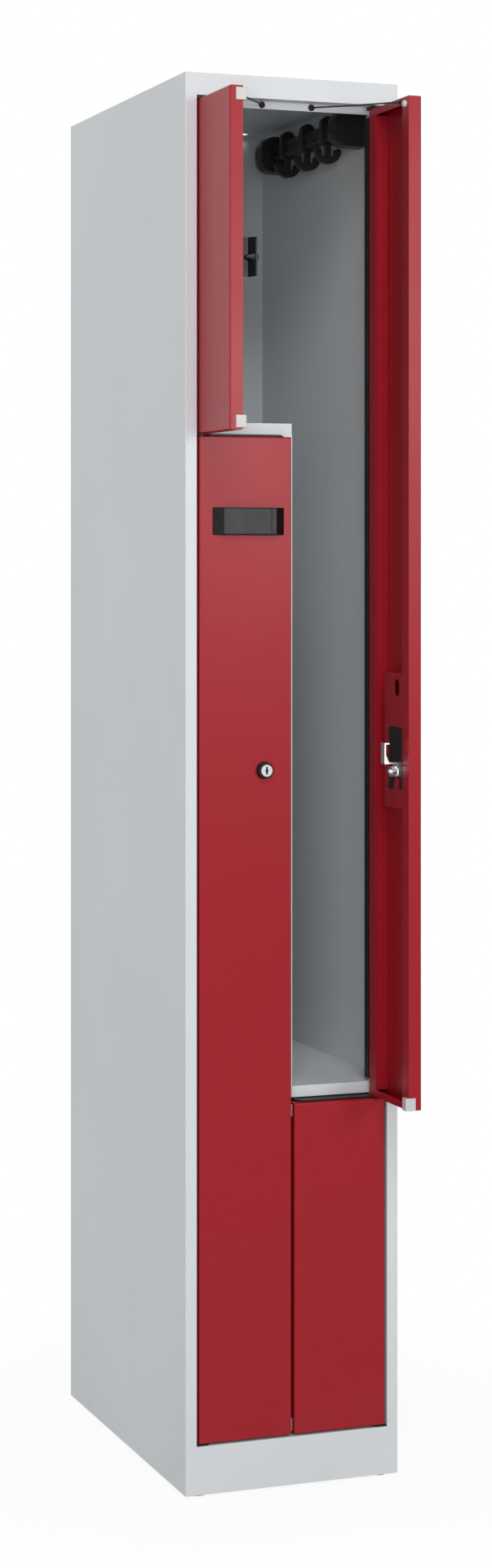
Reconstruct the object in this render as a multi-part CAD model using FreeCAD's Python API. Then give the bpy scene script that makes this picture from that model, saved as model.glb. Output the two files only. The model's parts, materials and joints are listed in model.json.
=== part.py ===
import FreeCAD, Part
import math
import os

# Z-locker in folded sheet steel, in mm: +X right, front towards -Y, +Z up, origin on the floor

# Overall size
WIDTH = 300.0
DEPTH = 500.0
HEIGHT = 1850.0
SHEET = 1.0
OUTER_BEND = 1.5

# Front frame
STILE_WIDTH = 15.5
FASCIA_HEIGHT = 29.0
PLINTH_TOP = 66.0
REBATE = 23.0
STOP_WIDTH = 16.3
TOP_FLANGE = 23.0
TOP_STOP_HEIGHT = 9.7
FLOOR_STOP_HEIGHT = 13.0
REAR_FLANGE = 24.0
CABLE_HOLE = 24.0
CABLE_HOLE_FROM_SIDE = 44.0
CABLE_HOLE_FROM_BACK = 20.0
WALL_HOLE = 8.0
WALL_HOLE_SPAN = 150.0
WALL_HOLE_FROM_TOP = 60.0

# Levelling feet
FOOT_HEIGHT = 3.0
FOOT_DIAMETER = 24.0
FOOT_TAPER = 1.0
FOOT_STUD = 8.0
FOOT_STUD_LENGTH = 26.0
FOOT_FROM_SIDE = 22.0
FOOT_FROM_ENDS = 17.0
BASE_FLANGE = 40.0
FLOOR_HOLE = 8.0

# Shelves and divider
BAND_HEIGHT = 14.8
BAND_ABOVE_DOOR = 1.0
DIVIDER_FLANGE = 16.0

# Doors
HINGE_GAP = 3.5
CENTRE_GAP = 4.0
TOP_GAP = 5.0
MID_GAP = 3.0
BOTTOM_GAP = 2.8
SHORT_DOOR = 434.5
DOOR_DEPTH = 18.0
DOOR_SHEET = 1.0
DOOR_BEND = 2.0
SIDE_LIP = 21.0
END_LIP = 9.5
UPPER_OPEN_ANGLE = 90.0

# Door pivots
PIVOT_FROM_EDGE = 5.5
PIVOT_FROM_FACE = 6.8
PIN_DIAMETER = 6.0
PIN_REACH = 12.0
RUNNING_FIT = 0.05
BUSH_DIAMETER = 7.8
BEARING_LENGTH = 20.0
BEARING_CLEARANCE = 0.8
BEARING_BEVEL = 5.0

# Door stiffener
STIFFENER_FOOT = 14.0
STIFFENER_HEAD = 12.0
STIFFENER_END_GAP = 10.0

# Gap strips and hinge seals
STRIP_THICKNESS = 1.6
STRIP_REACH = 17.0
STRIP_UPSTAND = 9.0
STRIP_FREE_BEVEL = 7.0
STRIP_END_GAP = 0.5
SEAL_THICKNESS = 1.5
SEAL_DEPTH = 13.0
SEAL_PROUD = 1.5
SEAL_END_GAP = 4.0

# Lock
LOCK_HEIGHT = 942.0
LOCK_FROM_FREE = 38.4
BEZEL_DIAMETER = 22.5
BEZEL_FRONT_DIAMETER = 19.5
BEZEL_PROUD = 9.0
CYLINDER_DIAMETER = 15.5
CYLINDER_PROUD = 9.6
KEYWAY_WIDTH = 2.6
KEYWAY_HEIGHT = 10.0
KEYWAY_EYE = 4.4
KEYWAY_DEPTH = 6.0
COVER_WIDTH = 57.0
COVER_HEIGHT = 176.0
COVER_BELOW_LOCK = 48.0
COVER_SLOT_WIDTH = 16.0
COVER_SLOT_HEIGHT = 22.0
COVER_SLOT_ABOVE_LOCK = 109.0
LOCK_BODY_WIDTH = 42.0
LOCK_BODY_HEIGHT = 81.0
LOCK_BODY_BELOW = 23.5
LOCK_BODY_PROUD = 0.6
LOCK_BODY_FIT = 0.2
LOCK_FORK_WIDTH = 16.0
CAM_WIDTH = 12.0
CAM_THICKNESS = 2.0
CAM_RISE = 12.0
CAM_OFFSET = 17.0
CAM_GUSSET_REACH = 6.0
CAM_GUSSET_HEIGHT = 13.0
CAM_GUSSET_WIDTH = 5.0
CAM_REACH = 35.5
CAM_TIP = 5.0
CAM_GAP = 0.3
NUT_ACROSS = 13.0
NUT_HEIGHT = 6.0
STUD_PROUD = 3.0

# Label holder
LABEL_HEIGHT = 35.7
LABEL_FROM_HINGE = 18.2
LABEL_FROM_FREE = 10.8
LABEL_FROM_TOP = 93.0
LABEL_PROUD = 8.0
LABEL_SLOPE = 13.0
LABEL_RIM = 1.8
LABEL_EDGE = 0.8
WINDOW_THICKNESS = 0.8
WINDOW_SPLIT_FROM_END = 7.0
WINDOW_SPLIT = 1.0

# Catch tongue on the short doors
TONGUE_HEIGHT = 50.0
TONGUE_ABOVE_MIDDLE = 2.0
TONGUE_BASE = 17.0
TONGUE_THICKNESS = 2.0
TONGUE_REACH = 20.0
TONGUE_FROM_FREE = 3.0
TONGUE_WING = 14.5
TONGUE_WING_FROM_FREE = 1.5
TONGUE_FLARE = 6.0
PEG_STEM = 4.0
PEG_CONE = 11.0
PEG_TIP = 3.0
PEG_LENGTH = 11.0
PEG_DISC = 10.5
PEG_DISC_THICKNESS = 2.0
PEG_FROM_FREE = 7.5

# Pale buffers at the free edge
BUFFER_HEIGHT = 16.0
BUFFER_WRAP = 9.6
BUFFER_PROUD = 1.0
BUFFER_STOP_GAP = 0.3
BUFFER_TAIL = 10.0
BUFFER_END_MARGIN = 2.4
TALL_BUFFER_MARGIN = 0.2
BUFFER_EDGE = 0.8
BUMPER_DIAMETER = 9.0
BUMPER_FROM_FREE = 9.4
BUMPER_FROM_END = 9.5

# Limiter cords and their buttons
CORD_DIAMETER = 2.2
BUTTON_DIAMETER = 8.6
BUTTON_HEIGHT = 3.0
BUTTON_TAPER = 1.0
BUTTON_FROM_CENTRE = 35.1
BUTTON_BELOW_FASCIA = 0.5
CORD_FROM_FREE = 26.7
CORD_BELOW_DOOR_TOP = 5.0
CORD_KNOT = 5.0

# Coat rails
RAIL_WIDTH = 15.0
RAIL_HEIGHT = 26.0
RAIL_FLUTES = 3
FLUTE_DIAMETER = 2.6
FLUTE_PITCH = 4.4
RAIL_FROM_WALL = 22.5
RAIL_BELOW_CEILING = 40.0
BRACKET_REACH = 45.0
BRACKET_HEIGHT = 51.5
BRACKET_THICKNESS = 28.0
BRACKET_CORNER = 20.0
BRACKET_BELOW_CEILING = 16.0
BRACKET_RECESS = 4.0
BRACKET_RECESS_MARGIN = 5.0
BRACKET_SOCKET_WALL = 3.0
RAIL_FRONT = -117.0
RAIL_REAR = 133.0
HOOK_FIRST = -61.0
HOOK_PITCH = 75.5
HOOK_COUNT = 3
HOOK_WIDTH = 10.0
HOOK_BAND = 3.0
HOOK_CROWN = 12.0
HOOK_DROP = 28.0
HOOK_SPAN = 38.0
HOOK_STEM = 7.0
HOOK_PRONG = 9.0
HOOK_BOWL = 10.5
HOOK_RISE = 17.0

# Worked out from the driving dimensions
FRONT = -DEPTH / 2
REAR = DEPTH / 2
SIDE = WIDTH / 2
OPENING = SIDE - STILE_WIDTH
STOP_FACE = FRONT + REBATE
STOP_EDGE = OPENING - STOP_WIDTH
FASCIA_BOTTOM = HEIGHT - FASCIA_HEIGHT
CEILING = HEIGHT - SHEET
TALL_DOOR = FASCIA_BOTTOM - PLINTH_TOP - TOP_GAP - MID_GAP - BOTTOM_GAP - SHORT_DOOR
LOWER_START = PLINTH_TOP + BOTTOM_GAP
UPPER_LEFT_START = LOWER_START + TALL_DOOR + MID_GAP
UPPER_RIGHT_START = LOWER_START + SHORT_DOOR + MID_GAP
UPPER_BAND = UPPER_LEFT_START + BAND_ABOVE_DOOR
LOWER_BAND = UPPER_RIGHT_START + BAND_ABOVE_DOOR
UPPER_SHELF_TOP = UPPER_BAND + BAND_HEIGHT
LOWER_SHELF_TOP = LOWER_BAND + BAND_HEIGHT
FLOOR_TOP = PLINTH_TOP + FLOOR_STOP_HEIGHT
DOOR_WIDTH = OPENING - HINGE_GAP - CENTRE_GAP / 2
DOOR_EDGE = OPENING - HINGE_GAP
PIVOT_X = DOOR_EDGE - PIVOT_FROM_EDGE
PIVOT_Y = FRONT + PIVOT_FROM_FACE
PIN_RADIUS = PIN_DIAMETER / 2
BORE_RADIUS = PIN_RADIUS + RUNNING_FIT
BACK_FACE = REAR - 2 * SHEET
LOCK_U = DOOR_WIDTH - LOCK_FROM_FREE
CYLINDER_RADIUS = CYLINDER_DIAMETER / 2
BODY_BACK = DOOR_DEPTH + LOCK_BODY_PROUD
BUTTON_Z = FASCIA_BOTTOM - BUTTON_BELOW_FASCIA - BUTTON_DIAMETER / 2
SOCKET_DEPTH = BRACKET_RECESS + BRACKET_SOCKET_WALL

V = FreeCAD.Vector
UP = V(0, 0, 1)
INWARD = V(0, 1, 0)


# Basic shapes

def block(x0, x1, y0, y1, z0, z1):
    return Part.makeBox(x1 - x0, y1 - y0, z1 - z0, V(x0, y0, z0))


def rod(radius, start, end):
    axis = end - start
    return Part.makeCylinder(radius, axis.Length, start, axis)


def cone(radius_a, radius_b, start, end):
    axis = end - start
    return Part.makeCone(radius_a, radius_b, axis.Length, start, axis)


def oval_rod(width, x, z0, z1, y0, y1):
    # Upright oval bar along Y with half-round top and bottom
    radius = width / 2
    low = z0 + radius
    high = z1 - radius
    rounds = [rod(radius, V(x, y0, z), V(x, y1, z)) for z in (low, high)]
    return fuse(rounds + [block(x - radius, x + radius, y0, y1, low, high)])


def prism(points, direction):
    face = Part.Face(Part.makePolygon(points + [points[0]]))
    return face.extrude(direction)


def fuse(shapes):
    first = shapes[0]
    return first.multiFuse(shapes[1:]).removeSplitter()


def group(shapes):
    return Part.makeCompound(shapes)


def mirrored(shape):
    return shape.mirror(V(0, 0, 0), V(1, 0, 0))


def fillet_where(shape, radius, wanted):
    edges = [edge for edge in shape.Edges if wanted(edge)]
    return shape.makeFillet(radius, edges)


def is_upright(edge, x, y):
    near = [abs(v.X - x) < 1e-4 and abs(v.Y - y) < 1e-4 for v in edge.Vertexes]
    return len(near) == 2 and all(near)


def folded(path, thickness):
    # Outline of a folded sheet whose visible face follows the path, with the metal on the path's left
    normals = []
    for a, b in zip(path, path[1:]):
        length = math.hypot(b[0] - a[0], b[1] - a[1])
        normals.append(((a[1] - b[1]) / length, (b[0] - a[0]) / length))
    inner = []
    for i, point in enumerate(path):
        before = normals[max(i - 1, 0)]
        after = normals[min(i, len(normals) - 1)]
        share = thickness / (1 + before[0] * after[0] + before[1] * after[1])
        inner.append((point[0] + share * (before[0] + after[0]), point[1] + share * (before[1] + after[1])))
    return path + inner[::-1]


def upright_sheet(path, thickness, z0, z1):
    outline = [V(x, y, z0) for x, y in folded(path, thickness)]
    return prism(outline, V(0, 0, z1 - z0))


# Carcass

def side_panel():
    path = [
        (-SIDE + REAR_FLANGE, REAR),
        (-SIDE, REAR),
        (-SIDE, FRONT),
        (-OPENING, FRONT),
        (-OPENING, STOP_FACE),
        (-STOP_EDGE, STOP_FACE),
    ]
    panel = upright_sheet(path, SHEET, FOOT_HEIGHT, CEILING)
    corners = [(-SIDE, FRONT), (-SIDE, REAR)]
    panel = fillet_where(panel, OUTER_BEND, lambda e: any(is_upright(e, x, y) for x, y in corners))
    wall = -SIDE + SHEET
    base_end = -SIDE + BASE_FLANGE
    base = block(wall, base_end, FRONT + SHEET, BACK_FACE, FOOT_HEIGHT, FOOT_HEIGHT + SHEET)
    head = block(wall, -SIDE + TOP_FLANGE, STOP_FACE + SHEET, BACK_FACE, CEILING - SHEET, CEILING)
    panel = fuse([panel, base, head])
    stud_hole = FOOT_STUD / 2 + RUNNING_FIT
    for x, y in foot_places():
        if x < 0:
            panel = panel.cut(Part.makeCylinder(stud_hole, SHEET, V(x, y, FOOT_HEIGHT), UP))
    fixing = V(-SIDE + FOOT_FROM_SIDE, (FRONT + REAR) / 2, FOOT_HEIGHT)
    return panel.cut(Part.makeCylinder(FLOOR_HOLE / 2, SHEET, fixing, UP))


def foot_places():
    x = SIDE - FOOT_FROM_SIDE
    y = DEPTH / 2 - FOOT_FROM_ENDS
    return [(sx * x, sy * y) for sx in (-1, 1) for sy in (-1, 1)]


def levelling_feet():
    feet = []
    for x, y in foot_places():
        disc = cone(FOOT_DIAMETER / 2 - FOOT_TAPER, FOOT_DIAMETER / 2, V(x, y, 0), V(x, y, FOOT_HEIGHT))
        stud = rod(FOOT_STUD / 2, V(x, y, FOOT_HEIGHT), V(x, y, FOOT_HEIGHT + FOOT_STUD_LENGTH))
        feet.append(fuse([disc, stud]))
    return group(feet)


def top_panel():
    plate = block(-SIDE, SIDE, FRONT, REAR, CEILING, HEIGHT)
    fascia = block(-OPENING, OPENING, FRONT, FRONT + SHEET, FASCIA_BOTTOM, CEILING)
    soffit = block(-OPENING, OPENING, FRONT, STOP_FACE, FASCIA_BOTTOM, FASCIA_BOTTOM + SHEET)
    stop_bottom = FASCIA_BOTTOM - TOP_STOP_HEIGHT
    stop = block(-STOP_EDGE, STOP_EDGE, STOP_FACE, STOP_FACE + SHEET, stop_bottom, FASCIA_BOTTOM + SHEET)
    panel = fuse([plate, fascia, soffit, stop])
    corners = [(sx * SIDE, y) for sx in (-1, 1) for y in (FRONT, REAR)]
    panel = fillet_where(panel, OUTER_BEND, lambda e: any(is_upright(e, x, y) for x, y in corners))
    hole = V(SIDE - CABLE_HOLE_FROM_SIDE, REAR - CABLE_HOLE_FROM_BACK, CEILING)
    return panel.cut(Part.makeCylinder(CABLE_HOLE / 2, SHEET, hole, UP))


def back_panel():
    panel = block(-SIDE + SHEET, SIDE - SHEET, BACK_FACE, BACK_FACE + SHEET, FOOT_HEIGHT, CEILING)
    for x in (-WALL_HOLE_SPAN / 2, WALL_HOLE_SPAN / 2):
        start = V(x, BACK_FACE, HEIGHT - WALL_HOLE_FROM_TOP)
        panel = panel.cut(Part.makeCylinder(WALL_HOLE / 2, SHEET, start, INWARD))
    return panel


def plinth():
    path = [(FRONT, FOOT_HEIGHT), (FRONT, PLINTH_TOP), (STOP_FACE, PLINTH_TOP)]
    outline = folded(path[::-1], SHEET)
    points = [V(-OPENING, y, z) for y, z in outline]
    return prism(points, V(2 * OPENING, 0, 0))


def floor_panel():
    stop = block(-STOP_EDGE, STOP_EDGE, STOP_FACE, STOP_FACE + SHEET, PLINTH_TOP - SHEET, FLOOR_TOP)
    tread = block(-SIDE + SHEET, SIDE - SHEET, STOP_FACE + SHEET, BACK_FACE, FLOOR_TOP - SHEET, FLOOR_TOP)
    return fuse([stop, tread])


def shelf(band_bottom):
    # Left-hand shelf with its front band, ending in a turned-down edge just past the centre line
    top = band_bottom + BAND_HEIGHT
    end = DIVIDER_FLANGE / 2
    tread = block(-SIDE + SHEET, end, STOP_FACE + SHEET, BACK_FACE, top - SHEET, top)
    band = block(-STOP_EDGE, end, STOP_FACE, STOP_FACE + SHEET, band_bottom, top)
    edge = block(end - SHEET, end, STOP_FACE, BACK_FACE, band_bottom, top)
    plain = fuse([tread, band, edge])
    return fillet_where(plain, OUTER_BEND, lambda e: is_upright(e, end, STOP_FACE))


def divider_wall():
    half = DIVIDER_FLANGE / 2
    wall_top = UPPER_SHELF_TOP - SHEET
    wall = block(-SHEET / 2, SHEET / 2, STOP_FACE + SHEET, BACK_FACE, LOWER_SHELF_TOP, wall_top)
    flange = block(-half, half, STOP_FACE, STOP_FACE + SHEET, LOWER_SHELF_TOP, UPPER_BAND)
    return fuse([wall, flange])


# Hinge side of the carcass

def gap_strip(door_top, band_bottom):
    # Black tongue in the gap between two left-hand leaves, hung behind the shelf band, wider at the pivot
    z0 = door_top + (MID_GAP - STRIP_THICKNESS) / 2
    z1 = z0 + STRIP_THICKNESS
    tip = STOP_FACE - STRIP_REACH
    root = STOP_FACE + SHEET + STRIP_THICKNESS
    free = -DIVIDER_FLANGE / 2 - STRIP_END_GAP
    nose = -OPENING + BEARING_LENGTH
    outline = [
        V(-OPENING, root, z0),
        V(-OPENING, FRONT + SHEET, z0),
        V(nose - BEARING_BEVEL, FRONT + SHEET, z0),
        V(nose, FRONT + SHEET + BEARING_BEVEL, z0),
        V(free - STRIP_FREE_BEVEL, tip, z0),
        V(free, tip + STRIP_FREE_BEVEL, z0),
        V(free, root, z0),
    ]
    tongue = prism(outline, V(0, 0, STRIP_THICKNESS))
    filler = block(-STOP_EDGE, free, STOP_FACE, STOP_FACE + SHEET, z1, band_bottom)
    upstand = block(-STOP_EDGE, free, STOP_FACE + SHEET, root, z1, band_bottom + STRIP_UPSTAND)
    strip = fuse([tongue, filler, upstand])
    flange_slot = block(-OPENING - SHEET, -STOP_EDGE, STOP_FACE, root, z0, z1)
    strip = strip.cut(flange_slot)
    return strip.cut(rod(BORE_RADIUS, V(-PIVOT_X, PIVOT_Y, z0), V(-PIVOT_X, PIVOT_Y, z1)))


def bearing_block(z0, z1):
    # Black block that fills the gap between frame and leaf at a left-hand pivot
    inner = -OPENING + BEARING_LENGTH
    outline = [
        V(-OPENING, STOP_FACE, z0),
        V(-OPENING, FRONT + SHEET, z0),
        V(inner - BEARING_BEVEL, FRONT + SHEET, z0),
        V(inner, FRONT + SHEET + BEARING_BEVEL, z0),
        V(inner, STOP_FACE, z0),
    ]
    solid = prism(outline, V(0, 0, z1 - z0))
    return solid.cut(rod(BORE_RADIUS, V(-PIVOT_X, PIVOT_Y, z0), V(-PIVOT_X, PIVOT_Y, z1)))


def pivot_bearings():
    top = bearing_block(FASCIA_BOTTOM - TOP_GAP + BEARING_CLEARANCE, FASCIA_BOTTOM)
    bottom = bearing_block(PLINTH_TOP, LOWER_START - BEARING_CLEARANCE)
    return group([top, bottom, mirrored(top), mirrored(bottom)])


def pivot_pins():
    spans = {
        -1: [
            (PLINTH_TOP, LOWER_START + PIN_REACH),
            (LOWER_START + TALL_DOOR - PIN_REACH, UPPER_LEFT_START + PIN_REACH),
            (FASCIA_BOTTOM - TOP_GAP - PIN_REACH, FASCIA_BOTTOM),
        ],
        1: [
            (PLINTH_TOP, LOWER_START + PIN_REACH),
            (LOWER_START + SHORT_DOOR - PIN_REACH, UPPER_RIGHT_START + PIN_REACH),
            (FASCIA_BOTTOM - TOP_GAP - PIN_REACH, FASCIA_BOTTOM),
        ],
    }
    pins = []
    for side, stretches in spans.items():
        for z0, z1 in stretches:
            pins.append(rod(PIN_RADIUS, V(side * PIVOT_X, PIVOT_Y, z0), V(side * PIVOT_X, PIVOT_Y, z1)))
    return group(pins)


def hinge_seal(z0, z1):
    # Black edging pushed onto a left-hand stop flange
    outer = block(
        -STOP_EDGE - SEAL_THICKNESS,
        -STOP_EDGE + SEAL_THICKNESS,
        STOP_FACE - SEAL_PROUD,
        STOP_FACE - SEAL_PROUD + SEAL_DEPTH,
        z0,
        z1,
    )
    flange = block(-OPENING, -STOP_EDGE, STOP_FACE, STOP_FACE + SHEET, z0, z1)
    return outer.cut(flange)


def hinge_seals():
    top_end = FASCIA_BOTTOM - TOP_STOP_HEIGHT - SEAL_END_GAP
    upper_left = hinge_seal(UPPER_SHELF_TOP + SEAL_END_GAP, top_end)
    upper_right = hinge_seal(LOWER_SHELF_TOP + SEAL_END_GAP, top_end)
    lower_left = hinge_seal(FLOOR_TOP + SEAL_END_GAP, UPPER_BAND - SEAL_END_GAP)
    lower_right = hinge_seal(FLOOR_TOP + SEAL_END_GAP, LOWER_BAND - SEAL_END_GAP)
    return group([upper_left, lower_left, mirrored(upper_right), mirrored(lower_right)])


def cord_buttons():
    buttons = []
    for x in (-BUTTON_FROM_CENTRE, BUTTON_FROM_CENTRE):
        start = V(x, STOP_FACE, BUTTON_Z)
        front = start - INWARD * BUTTON_HEIGHT
        buttons.append(cone(BUTTON_DIAMETER / 2, BUTTON_DIAMETER / 2 - BUTTON_TAPER, start, front))
    return group(buttons)


# Doors, made with the hinge edge at x = 0, the front face at y = 0 and the bottom at z = 0

def door_pan(height, lock_at=None):
    outer = block(0, DOOR_WIDTH, 0, DOOR_DEPTH, 0, height)
    outer = fillet_where(outer, DOOR_BEND, lambda e: all(abs(v.Y) < 1e-6 for v in e.Vertexes))
    t = DOOR_SHEET
    inner = block(t, DOOR_WIDTH - t, t, DOOR_DEPTH - t, t, height - t)
    inner = fillet_where(inner, DOOR_BEND - t, lambda e: all(abs(v.Y - t) < 1e-6 for v in e.Vertexes))
    window = block(SIDE_LIP, DOOR_WIDTH - SIDE_LIP, DOOR_DEPTH - t, DOOR_DEPTH, END_LIP, height - END_LIP)
    pan = outer.cut(inner).cut(window)
    pivot = V(PIVOT_FROM_EDGE, PIVOT_FROM_FACE, 0)
    pan = pan.cut(rod(BORE_RADIUS, pivot, pivot + UP * height))
    if lock_at is not None:
        pan = pan.cut(rod(bezel_neck(), V(LOCK_U, 0, lock_at), V(LOCK_U, t, lock_at)))
    return pan


def door_bushes(height):
    bushes = []
    for z0 in (DOOR_SHEET, height - PIN_REACH - DOOR_SHEET):
        start = V(PIVOT_FROM_EDGE, PIVOT_FROM_FACE, z0)
        end = start + UP * PIN_REACH
        bushes.append(rod(BUSH_DIAMETER / 2, start, end).cut(rod(BORE_RADIUS, start, end)))
    return group(bushes)


def door_stiffener(height):
    # Z section from the skin to the back of the hinge-side lip
    wall = SIDE_LIP + DOOR_SHEET
    floor = DOOR_SHEET
    head = DOOR_DEPTH - DOOR_SHEET
    z0 = STIFFENER_END_GAP
    z1 = height - STIFFENER_END_GAP
    foot = block(wall, wall + STIFFENER_FOOT, floor, floor + DOOR_SHEET, z0, z1)
    web = block(wall, wall + DOOR_SHEET, floor, head, z0, z1)
    top = block(wall - STIFFENER_HEAD, wall + DOOR_SHEET, head - DOOR_SHEET, head, z0, z1)
    return fuse([foot, web, top])


def buffer_block(z0, z1):
    # Pale block clipped round the free edge, with a tail that meets the stop
    x1 = DOOR_WIDTH + BUFFER_PROUD
    back = REBATE - BUFFER_STOP_GAP
    edge = block(DOOR_WIDTH, x1, DOOR_DEPTH - BUFFER_WRAP, back, z0, z1)
    tail = block(DOOR_WIDTH - BUFFER_TAIL, x1, DOOR_DEPTH, back, z0, z1)
    solid = fuse([edge, tail])
    return fillet_where(solid, BUFFER_EDGE, lambda e: all(v.X > x1 - 1e-6 for v in e.Vertexes))


def bumper_dome(z):
    start = V(DOOR_WIDTH - BUMPER_FROM_FREE, DOOR_DEPTH, z)
    end = V(start.x, REBATE - BUFFER_STOP_GAP, z)
    dome = rod(BUMPER_DIAMETER / 2, start, end)
    rounding = (end - start).Length / 2
    return fillet_where(dome, rounding, lambda e: all(abs(v.Y - end.y) < 1e-6 for v in e.Vertexes))


def door_buffers(height, tall):
    # Short leaves carry a block at both ends, tall ones a block below and a small dome above
    if tall:
        low = buffer_block(TALL_BUFFER_MARGIN, TALL_BUFFER_MARGIN + BUFFER_HEIGHT)
        return group([low, bumper_dome(height - BUMPER_FROM_END)])
    low = buffer_block(BUFFER_END_MARGIN, BUFFER_END_MARGIN + BUFFER_HEIGHT)
    high = buffer_block(height - BUFFER_END_MARGIN - BUFFER_HEIGHT, height - BUFFER_END_MARGIN)
    return group([low, high])


def catch_tongue(height):
    # Moulded catch on the free-side lip: base, web and a flared wing that carries a rubber peg
    z0 = height / 2 + TONGUE_ABOVE_MIDDLE - TONGUE_HEIGHT / 2
    t = TONGUE_THICKNESS
    end = DOOR_WIDTH - TONGUE_FROM_FREE
    wing_end = DOOR_WIDTH - TONGUE_WING_FROM_FREE
    web = wing_end - TONGUE_WING
    tip = DOOR_DEPTH + TONGUE_REACH
    outline = [
        V(end - TONGUE_BASE, DOOR_DEPTH, z0),
        V(end, DOOR_DEPTH, z0),
        V(end, DOOR_DEPTH + t, z0),
        V(web + t, DOOR_DEPTH + t, z0),
        V(web + t, tip - TONGUE_FLARE - t, z0),
        V(wing_end, tip - t, z0),
        V(wing_end, tip, z0),
        V(web, tip - TONGUE_FLARE, z0),
        V(web, DOOR_DEPTH + t, z0),
        V(end - TONGUE_BASE, DOOR_DEPTH + t, z0),
    ]
    body = prism(outline, V(0, 0, TONGUE_HEIGHT))
    axis = V(DOOR_WIDTH - PEG_FROM_FREE, tip - TONGUE_FLARE / 2, z0 + TONGUE_HEIGHT / 2)
    body = body.cut(rod(PEG_STEM / 2 + RUNNING_FIT, axis - INWARD * PEG_LENGTH, axis + INWARD * PEG_LENGTH))
    bulb = cone(PEG_TIP / 2, PEG_CONE / 2, axis - INWARD * PEG_LENGTH, axis)
    disc_start = V(axis.x, tip, axis.z)
    stem = rod(PEG_STEM / 2, axis, disc_start)
    disc = rod(PEG_DISC / 2, disc_start, disc_start + INWARD * PEG_DISC_THICKNESS)
    peg = fuse([bulb, stem, disc]).cut(body)
    return group([body] + [max(peg.Solids, key=lambda solid: solid.Volume)])


# Lock on a tall door, turned about an axis square to the skin

def bezel_neck():
    return CYLINDER_RADIUS + DOOR_SHEET


def lock_bezel(z):
    face = V(LOCK_U, 0, z)
    collar = cone(BEZEL_DIAMETER / 2, BEZEL_FRONT_DIAMETER / 2, face, face - INWARD * BEZEL_PROUD)
    neck = rod(bezel_neck() - RUNNING_FIT, face, face + INWARD * DOOR_SHEET)
    bore = rod(CYLINDER_RADIUS + RUNNING_FIT, face - INWARD * BEZEL_PROUD, face + INWARD * DOOR_SHEET)
    return fuse([collar, neck]).cut(bore)


def lock_cylinder(z):
    front = V(LOCK_U, -CYLINDER_PROUD, z)
    back = V(LOCK_U, BODY_BACK + CAM_GAP, z)
    barrel = rod(CYLINDER_RADIUS, front, back)
    spindle = rod(CAM_WIDTH / 4, back, back + INWARD * CAM_THICKNESS)
    plug = fuse([barrel, spindle])
    half = KEYWAY_WIDTH / 2
    slot = block(
        LOCK_U - half,
        LOCK_U + half,
        -CYLINDER_PROUD,
        -CYLINDER_PROUD + KEYWAY_DEPTH,
        z - KEYWAY_HEIGHT / 2,
        z + KEYWAY_HEIGHT / 2,
    )
    eye = rod(KEYWAY_EYE / 2, front, front + INWARD * KEYWAY_DEPTH)
    return plug.cut(fuse([slot, eye]))


def lock_body_box(z, spare):
    # Outline of the lock case against the free-side lip, forked below the cylinder
    x1 = DOOR_WIDTH - SIDE_LIP
    x0 = x1 - LOCK_BODY_WIDTH
    z0 = z - LOCK_BODY_BELOW
    z1 = z0 + LOCK_BODY_HEIGHT
    case = block(x0 - spare, x1, DOOR_SHEET, BODY_BACK, z0 - spare, z1 + spare)
    fork_half = LOCK_FORK_WIDTH / 2 - spare
    fork_top = z - CYLINDER_RADIUS - DOOR_SHEET - spare
    fork_x = (LOCK_U - fork_half, LOCK_U + fork_half)
    return case.cut(block(*fork_x, DOOR_SHEET, BODY_BACK, z0 - spare, fork_top))


def lock_cover(z):
    x1 = DOOR_WIDTH - SIDE_LIP
    x0 = x1 - COVER_WIDTH
    z0 = z - COVER_BELOW_LOCK
    z1 = z0 + COVER_HEIGHT
    t = DOOR_SHEET
    plate = block(x0, x1, DOOR_DEPTH - t, DOOR_DEPTH, z0, z1)
    ends = [block(x0, x1, t, DOOR_DEPTH, end, end + t) for end in (z0, z1 - t)]
    cheek = block(x0, x0 + t, t, DOOR_DEPTH, z0, z1)
    cover = fuse([plate, cheek] + ends).cut(lock_body_box(z, LOCK_BODY_FIT))
    radius = COVER_SLOT_WIDTH / 2
    reach = (COVER_SLOT_HEIGHT - COVER_SLOT_WIDTH) / 2
    mid = z + COVER_SLOT_ABOVE_LOCK
    ends = [V(LOCK_U, DOOR_DEPTH - t, mid + side * reach) for side in (-1, 1)]
    rounds = [rod(radius, end, end + INWARD * t) for end in ends]
    middle = block(LOCK_U - radius, LOCK_U + radius, DOOR_DEPTH - t, DOOR_DEPTH, mid - reach, mid + reach)
    return cover.cut(fuse(rounds + [middle]))


def lock_body(z):
    bore = rod(CYLINDER_RADIUS + RUNNING_FIT, V(LOCK_U, DOOR_SHEET, z), V(LOCK_U, BODY_BACK, z))
    return lock_body_box(z, 0).cut(bore)


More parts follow.
